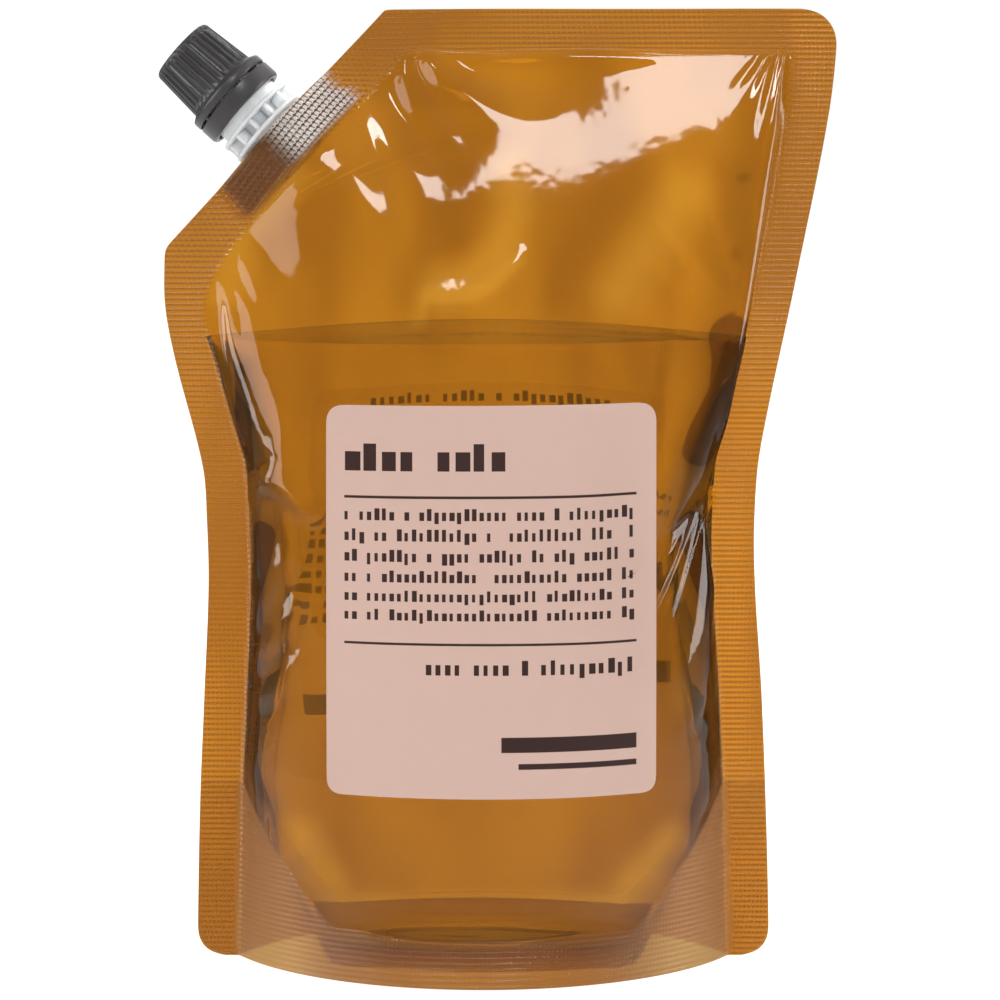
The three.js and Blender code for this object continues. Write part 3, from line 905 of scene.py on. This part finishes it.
def textRows(n, u, v, spec, seed):  # rows of small blocks in word-long groups, some taller than the rest
    left, right, top, rows = spec["left"], spec["right"], spec["top"], spec["rows"]
    pitch, height = spec["pitch"], spec["height"]
    width = (right - left) / round((right - left) / spec["width"])
    down = n.math("DIVIDE", n.math("SUBTRACT", top + pitch - height, v), pitch)
    foot = n.times(n.math("SUBTRACT", 1.0, n.math("FRACT", down)), pitch)  # height above the row's base
    along = n.math("DIVIDE", n.math("SUBTRACT", u, left), width)
    cell, inside = n.math("FLOOR", along), n.math("FRACT", along)
    draw = n.math("ADD", n.times(n.math("FLOOR", down), 57.3), n.math("ADD", cell, seed))
    chance = n.add("ShaderNodeTexWhiteNoise", noise_dimensions="1D")
    n.feed(chance.inputs["W"], draw)
    kind = n.add("ShaderNodeSeparateColor")
    n.feed(kind.inputs[0], chance.outputs["Color"])
    blank = n.math("LESS_THAN", kind.outputs[0], spec.get("blank", 0.15))
    blank = n.times(blank, n.math("GREATER_THAN", cell, 0.5))
    tall = n.times(n.math("GREATER_THAN", kind.outputs[1], 0.66), height * 0.42)
    deep = n.times(n.math("LESS_THAN", kind.outputs[1], 0.12), height * 0.36)
    slim = n.scaled(kind.outputs[2], 0.28, spec.get("slim", 0.46))
    block = n.times(n.math("GREATER_THAN", inside, 0.04), n.math("LESS_THAN", inside, slim))
    block = n.times(block, n.math("SUBTRACT", 1.0, blank))
    base = (pitch - height) * 0.45
    low = n.math("GREATER_THAN", foot, n.math("SUBTRACT", base, deep))
    high = n.math("LESS_THAN", foot, n.math("ADD", base + height, tall))
    block = n.times(block, n.times(low, high))
    bottom = top - height - (rows - 1) * pitch
    field = n.times(within(n, u, left, right), within(n, v, bottom, top + pitch - height))
    return n.times(block, field)


def rule(n, u, v, left, right, foot, height):
    return n.times(within(n, u, left, right), within(n, v, foot, foot + height))


def most(n, parts):
    total = parts[0]
    for part in parts[1:]:
        total = n.math("MAXIMUM", total, part)
    return total


def pinkLabelMaterial():
    material, n = newMaterial("pinkLabel")
    uv, u, v = n.pattern()
    width = (labels["front"]["x"][1] - labels["front"]["x"][0]) * mm
    left, right = 0.0040, width - 0.0044
    title = dict(left=left, right=left + 0.0164, top=0.0722, rows=1, pitch=0.0080, height=0.0039,
                 width=0.0041, blank=0.0, slim=0.62)
    titleEnd = dict(title, left=left + 0.0205, right=left + 0.0365)
    body = dict(left=left, right=right, top=0.0608, rows=6, pitch=0.00415, height=0.0017, width=0.00165)
    scent = dict(left=left + 0.0180, right=right, top=0.0286, rows=1, pitch=0.0050, height=0.0023,
                 width=0.0021)
    text = ((title, 3.0), (titleEnd, 7.0), (body, 11.0), (scent, 29.0))
    # rules and bars: left edge, foot and height, all ending at the right
    rules = ((left, 0.0646, 0.00055), (left, 0.0340, 0.00055))
    bars = ((right - 0.0300, 0.0104, 0.0034), (right - 0.0262, 0.0066, 0.0013))
    ink = most(n, [textRows(n, u, v, spec, seed) for spec, seed in text]
               + [rule(n, u, v, start, right, foot, height) for start, foot, height in rules + bars])
    shader = n.add("ShaderNodeBsdfPrincipled")
    grain = n.noise(uv, 220, 4, 0.6)
    pale = n.mix(grain, labels["pink"], tuple(min(c * 1.05, 1) for c in labels["pink"][:3]) + (1,))
    n.feed(shader.inputs["Base Color"], n.mix(ink, pale, labels["ink"]))
    n.feed(shader.inputs["Roughness"], n.scaled(grain, 0.12, 0.34))
    n.feed(shader.inputs["Normal"], n.bump(n.noise(uv, 90, 3), 0.0002, 0.3))
    n.finish(shader.outputs[0])
    return material


def clearLabelMaterial():
    material, n = newMaterial("clearLabel")
    uv, u, v = n.pattern()
    small = dict(pitch=0.0034, height=0.0015, width=0.0015)
    heading = dict(small, left=0.012, right=0.064, top=0.0866, rows=1, height=0.0018, width=0.0019)
    leftRows = dict(small, left=0.0012, right=0.0170, top=0.0600, rows=8)
    rightRows = dict(small, left=0.0590, right=0.0748, top=0.0660, rows=2)
    bold = dict(rows=1, pitch=0.0100, height=0.0046, width=0.0048, blank=0.0)
    leftBold = dict(bold, left=0.0020, right=0.0170, top=0.0170)
    rightBold = dict(bold, left=0.0590, right=0.0740, top=0.0440)
    text = (
        (heading, 5.0), (leftRows, 17.0), (rightRows, 41.0), (leftBold, 8.0), (rightBold, 2.0),
        (dict(rightBold, top=0.0240), 6.0),
    )
    ink = most(n, [textRows(n, u, v, spec, seed) for spec, seed in text])
    clear = n.add("ShaderNodeBsdfTransparent")
    clear.inputs[0].default_value = (0.93, 0.92, 0.90, 1)
    gloss = n.add("ShaderNodeBsdfGlossy")
    n.feed(gloss.inputs["Roughness"], n.scaled(n.noise(uv, 160, 3), 0.08, 0.14))
    printed = n.add("ShaderNodeBsdfDiffuse")
    printed.inputs["Color"].default_value = (0.10, 0.045, 0.03, 1)
    sheet = n.mixShader(n.sheetGloss(1.3), clear.outputs[0], gloss.outputs[0])
    sheet = n.mixShader(0.10, sheet, n.twoSided((0.9, 0.85, 0.8, 1), 0.7))
    n.finish(n.mixShader(n.times(ink, 0.85), sheet, printed.outputs[0]))
    return material


frontLabel = makeLabel("frontLabelSheet", labels["front"], frontFilm, pinkLabelMaterial())
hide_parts("front_label")
backLabel = makeLabel("backLabelSheet", labels["back"], backFilm, clearLabelMaterial())
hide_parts("back_label")
print("labels ready")


# Closure, modelled upright: z runs out of the spout from the film's edge

closure = {
    "bore": 5.1,
    "neck": 6.2,
    "mouth": 24.0,
    "flange": 9.9,
    "boatLength": 16.8,
    "boatThickness": 6.2,
    "boatDepth": 9.4,
    "webs": 12,
    "threadTurns": 1.25,
    "threadLead": 6.0,
    "threadHeight": 13.6,
    "sealingRib": 1.55,  # pitch of the ribs along the welded base
    "bridges": 10,
    "turns": 96,
}

lean = (pouch["spoutV"] - pouch["leanFrom"]) / pouch["leanRadius"]
closureFrame = (
    Matrix.Translation(place(pouch["spoutX"], 0, pouch["spoutV"]))
    @ Matrix.Rotation(-lean, 4, "X")
    @ Matrix.Rotation(-pouch["slantAngle"], 4, "Y")
)


def turned(bm, profile, steps):  # spins a closed outline of (radius, height) about z
    verts = [bm.verts.new((r * mm, 0, z * mm)) for r, z in profile]
    edges = [bm.edges.new((verts[k], verts[(k + 1) % len(verts)])) for k in range(len(verts))]
    bmesh.ops.spin(
        bm, geom=verts + edges, cent=(0, 0, 0), axis=(0, 0, 1), angle=2 * math.pi, steps=steps,
        use_merge=True,
    )
    bmesh.ops.remove_doubles(bm, verts=bm.verts, dist=0.001 * mm)


def block(bm, size, at, turn):  # a box at a place, then turned about z
    shift = Matrix.Translation(Vector(at) * mm) @ Matrix.Diagonal((*(Vector(size) * mm), 1))
    bmesh.ops.create_cube(bm, size=1, matrix=Matrix.Rotation(turn, 4, "Z") @ shift)


def placeClosure(name, bm, material, body, node, smoothAngle=35):
    bmesh.ops.recalc_face_normals(bm, faces=bm.faces)
    bmesh.ops.transform(bm, matrix=closureFrame, verts=bm.verts)
    piece = addPiece(name, bm, material)
    piece.data.set_sharp_from_angle(angle=math.radians(smoothAngle))
    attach(piece, body)
    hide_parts(node)


def makeSpout():
    bore, neck, flange = closure["bore"], closure["neck"], closure["flange"]
    mouth, depth = closure["mouth"], closure["boatDepth"]
    bm = bmesh.new()
    turned(bm, [
        (bore, -depth), (neck - 0.1, -depth), (neck - 0.1, 0.6), (flange - 0.3, 0.6), (flange, 0.85),
        (flange, 1.3), (flange - 0.3, 1.5), (neck + 0.25, 1.5), (neck, 1.75), (neck, 4.15),
        (neck + 0.25, 4.4), (flange - 0.3, 4.4), (flange, 4.65), (flange, 5.1), (flange - 0.3, 5.3),
        (8.45, 5.3), (8.3, 5.45),
        (8.3, 8.6), (8.9, 9.1), (8.7, 9.6), (8.2, 9.9), (neck, 9.9), (neck, mouth - 0.6),
        (neck - 0.25, mouth - 0.15), (neck - 0.6, mouth), (bore + 0.3, mouth), (bore, mouth - 0.3),
    ], closure["turns"])
    reach = flange - neck
    for k in range(closure["webs"]):
        turn = (k + 0.5) * 2 * math.pi / closure["webs"]
        block(bm, (reach, 0.8, 3.1), (neck + reach / 2 - 0.35, 0, 2.95), turn)
    makeThread(bm)
    makeBoat(bm)
    placeClosure("spoutMoulding", bm, naturalPlastic, "pouch", "spout")


def makeThread(bm):  # two starts, each a ridge with sloping sides rooted in the neck
    steps = 60
    for start in (0, math.pi):
        profile = [(5.95, -0.75), (6.75, -0.2), (6.75, 0.2), (5.95, 0.75)]
        verts = [bm.verts.new((r * mm, 0, (z + closure["threadHeight"]) * mm)) for r, z in profile]
        bmesh.ops.rotate(bm, verts=verts, cent=(0, 0, 0), matrix=Matrix.Rotation(start, 3, "Z"))
        face = bm.faces.new(verts)
        turns = closure["threadTurns"]
        bmesh.ops.spin(
            bm, geom=[face] + face.edges[:] + face.verts[:], cent=(0, 0, 0), axis=(0, 0, 1),
            dvec=(0, 0, closure["threadLead"] * turns * mm / steps), angle=turns * 2 * math.pi, steps=steps,
            use_merge=False,
        )
        bmesh.ops.recalc_face_normals(bm, faces=bm.faces)


def makeBoat(bm):  # the welded base: a ridge with sealing ribs along it
    layers, count, depth = 34, 40, closure["boatDepth"]
    rings = []
    base = bmesh.ops.create_circle(bm, cap_ends=False, segments=2 * count, radius=1)["verts"]
    for index, vert in enumerate(base):
        share = math.cos(math.pi * index / count)
        half = max(closure["boatThickness"] * ridge(share), 0.3) * (1 if index < count else -1)
        if index % count == 0:
            half = 0
        vert.co = Vector((share * closure["boatLength"], half, -depth)) * mm
    bottom = loop = [edge for edge in bm.edges if edge.verts[0] in base and edge.verts[1] in base]
    for layer in range(layers):
        extruded = bmesh.ops.extrude_edge_only(bm, edges=loop)["geom"]
        moved = [item for item in extruded if isinstance(item, bmesh.types.BMVert)]
        bmesh.ops.translate(bm, vec=(0, 0, (depth - 0.2) * mm / layers), verts=moved)
        loop = [item for item in extruded if isinstance(item, bmesh.types.BMEdge)]
        rings.append(moved)
    for layer, ring in enumerate(rings[:-1]):
        z = (layer + 1) / layers * depth
        if not 0.5 < z < depth - 0.9:
            continue
        groove = 0.28 * max(math.sin(2 * math.pi * z / closure["sealingRib"]), 0) ** 0.6
        for vert in ring:
            if abs(vert.co.y) > 0.3 * mm:
                vert.co.y -= math.copysign(groove * mm, vert.co.y)
    for ring in (bottom, loop):
        bmesh.ops.holes_fill(bm, edges=ring, sides=0)


def makeBand():
    bm = bmesh.new()
    turned(bm, [
        (8.95, 7.9), (9.2, 7.6), (9.9, 7.6), (10.15, 7.75), (10.4, 8.3), (10.4, 11.45), (10.25, 11.6),
        (9.3, 11.6), (9.3, 8.9), (8.95, 8.5),
    ], closure["turns"])
    for k in range(closure["bridges"]):
        block(bm, (0.7, 0.9, 0.6), (9.85, 0, 11.78), k * 2 * math.pi / closure["bridges"])
    placeClosure("tamperBand", bm, blackPlastic, "pouch", "tamper_band")


cap = {
    "ribs": 30,
    "ribDepth": 0.55,
    "perRib": 8,
    "rows": 22,
    "foot": 12.1,
    "ribFoot": 15.0,
    "ribTop": 26.6,
    "top": 27.6,
}


def makeCap():
    foot, top, low, rows = cap["foot"], cap["top"], cap["ribFoot"], cap["rows"]
    bm = bmesh.new()
    ribbed = [(8.85 - 0.9 * t / rows, low + (cap["ribTop"] - low) * t / rows) for t in range(rows + 1)]
    outside = [
        (9.4, foot), (10.2, foot), (10.4, foot + 0.2), (10.4, 13.7), (10.25, 14.05), (9.35, 14.6),
        (9.0, 14.8),
    ]
    crown = [(7.82, 27.0), (7.55, 27.35), (7.15, 27.55), (6.7, top), (3.0, top), (0.01, top)]
    inside = [(0.01, 25.9), (6.7, 25.9), (6.95, 25.6), (6.95, 14.6), (9.2, 13.9), (9.2, foot + 0.15)]
    turned(bm, outside + ribbed + crown + inside, cap["ribs"] * cap["perRib"])
    for vert in bm.verts:
        r, z = math.hypot(vert.co.x, vert.co.y) / mm, vert.co.z / mm
        if r < 7.4 or z < low - 0.1 or z > 27.2:
            continue
        angle = math.atan2(vert.co.y, vert.co.x) * cap["ribs"] / (2 * math.pi)
        wave = abs((angle % 1) - 0.5) * 2  # 1 on a rib, 0 in the middle of a groove
        groove = 1 - ease(wave, 0.25, 0.72)
        depth = cap["ribDepth"] * groove * ease(z, low - 0.1, low + 0.9) * (1 - ease(z, 26.2, 27.2))
        scale = (r - depth) / r
        vert.co.x *= scale
        vert.co.y *= scale
    placeClosure("screwCap", bm, blackPlastic, "cap", "screw_cap", smoothAngle=50)


def makeLiner():
    bm = bmesh.new()
    turned(bm, [(0.01, 24.3), (6.0, 24.3), (6.2, 24.45), (6.2, 25.35), (6.0, 25.5), (0.01, 25.5)], 64)
    placeClosure("capLiner", bm, linerFoam, "liner", "cap_liner")


makeSpout()
makeBand()
makeCap()
makeLiner()
print("closure ready")


# Studio

studio = {
    "distance": 2.2,
    "elevation": math.radians(11),
    "aim": (0.0004, 0.0, 0.1043),
    "lens": 355.0,
    "floorSize": 40.0,
    "floorGlow": 0.72,
    "floorSeen": 0.94,
    "roomBack": 0.85,
    "roomDim": 0.08,
    "roomTop": 0.2,
    "backFrom": (0.66, 0.90),  # parts of the way towards the back where the room grows light
    "topFrom": (0.4, 0.9),  # and towards the top
}


def makeFloor():
    bm = bmesh.new()
    bmesh.ops.create_grid(bm, x_segments=1, y_segments=1, size=studio["floorSize"] / 2)
    bmesh.ops.translate(bm, vec=(0, 0, -0.0002), verts=bm.verts)
    material, n = newMaterial("paleFloor")
    glow = n.add("ShaderNodeEmission")
    path = n.add("ShaderNodeLightPath")
    split = n.add("ShaderNodeSeparateXYZ")
    n.feed(split.inputs[0], n.position())
    sides = n.step(n.math("ABSOLUTE", split.outputs[0]), 0.20, 0.45, 1.0, 0.10)
    behind = n.times(n.step(split.outputs[1], -0.25, 0.15, 0.12, 1.0), sides)
    lit = n.times(n.math("MAXIMUM", path.outputs["Is Diffuse Ray"], behind), studio["floorGlow"])
    seen = n.times(path.outputs["Is Camera Ray"], studio["floorSeen"])
    n.feed(glow.inputs["Strength"], n.math("MAXIMUM", seen, lit))
    matt = n.add("ShaderNodeBsdfDiffuse")
    matt.inputs["Color"].default_value = (0.25, 0.25, 0.25, 1)
    both = n.add("ShaderNodeAddShader")
    n.feed(both.inputs[0], glow.outputs[0])
    n.feed(both.inputs[1], matt.outputs[0])
    n.finish(both.outputs[0])
    floor = addPiece("floor", bm, material)


def softLight(name, at, toward, size, watts, shown=True, lit=True):
    light = bpy.data.lights.new(name, "AREA")
    light.shape = "RECTANGLE"
    light.size, light.size_y = size
    light.energy = watts
    holder = bpy.data.objects.new(name, light)
    collection.objects.link(holder)
    holder.location = at
    holder.rotation_euler = (Vector(toward) - Vector(at)).to_track_quat("-Z", "Y").to_euler()
    holder.visible_glossy = shown  # seen in the gloss of the film
    holder.visible_diffuse = lit
    holder.visible_transmission = False


def makeCamera():
    view = bpy.data.cameras.new("camera")
    view.lens = studio["lens"]
    view.sensor_width = 36
    view.clip_start = 0.01
    holder = bpy.data.objects.new("camera", view)
    collection.objects.link(holder)
    aim = Vector(studio["aim"])
    up = studio["elevation"]
    holder.location = aim + Vector((0, -math.cos(up), math.sin(up))) * studio["distance"]
    holder.rotation_euler = (aim - holder.location).to_track_quat("-Z", "Y").to_euler()
    bpy.context.scene.camera = holder


def makeWorld():  # white behind the pouch, dim behind the camera and at the sides
    world = bpy.data.worlds.new("studio")
    bpy.context.scene.world = world
    world.use_nodes = True
    world.node_tree.nodes.clear()
    n = Nodes(world, "ShaderNodeOutputWorld")
    split = n.add("ShaderNodeSeparateXYZ")
    n.feed(split.inputs[0], n.add("ShaderNodeTexCoord").outputs["Generated"])
    back = n.step(split.outputs[1], *studio["backFrom"], studio["roomDim"], studio["roomBack"])
    top = n.step(split.outputs[2], *studio["topFrom"], 0.0, studio["roomTop"])
    path = n.add("ShaderNodeLightPath")
    seen = n.math("MAXIMUM", path.outputs["Is Camera Ray"], n.math("MAXIMUM", back, top))
    shader = n.add("ShaderNodeBackground")
    shader.inputs["Color"].default_value = (1, 1, 1, 1)
    n.feed(shader.inputs["Strength"], seen)
    n.finish(shader.outputs[0])


makeFloor()
makeWorld()
softLight("key", (0.35, -0.85, 0.75), (0, 0, 0.12), (0.5, 0.6), 4.6, shown=False)
softLight("fill", (-0.85, -0.55, 0.45), (0, 0, 0.1), (0.4, 0.7), 3.2)
softLight("topPanel", (0.16, -0.76, 0.98), (0.03, 0.01, 0.187), (0.22, 0.23), 2.3, lit=False)
softLight("leftPanel", (-0.32, -0.56, 1.06), (-0.03, 0.0, 0.17), (0.13, 0.14), 1.4, lit=False)
softLight("leftStrip", (-0.90, -0.12, 0.30), (0, 0, 0.12), (0.25, 0.8), 4.0, lit=False)
softLight("rightStrip", (0.90, -0.05, 0.30), (0, 0, 0.12), (0.25, 0.8), 4.0, lit=False)
softLight("backGlow", (0.45, 0.45, 0.75), (0, 0, 0.12), (0.4, 0.4), 14.0, shown=False)
makeCamera()
bpy.context.scene.view_settings.view_transform = "Standard"

print("scene ready")
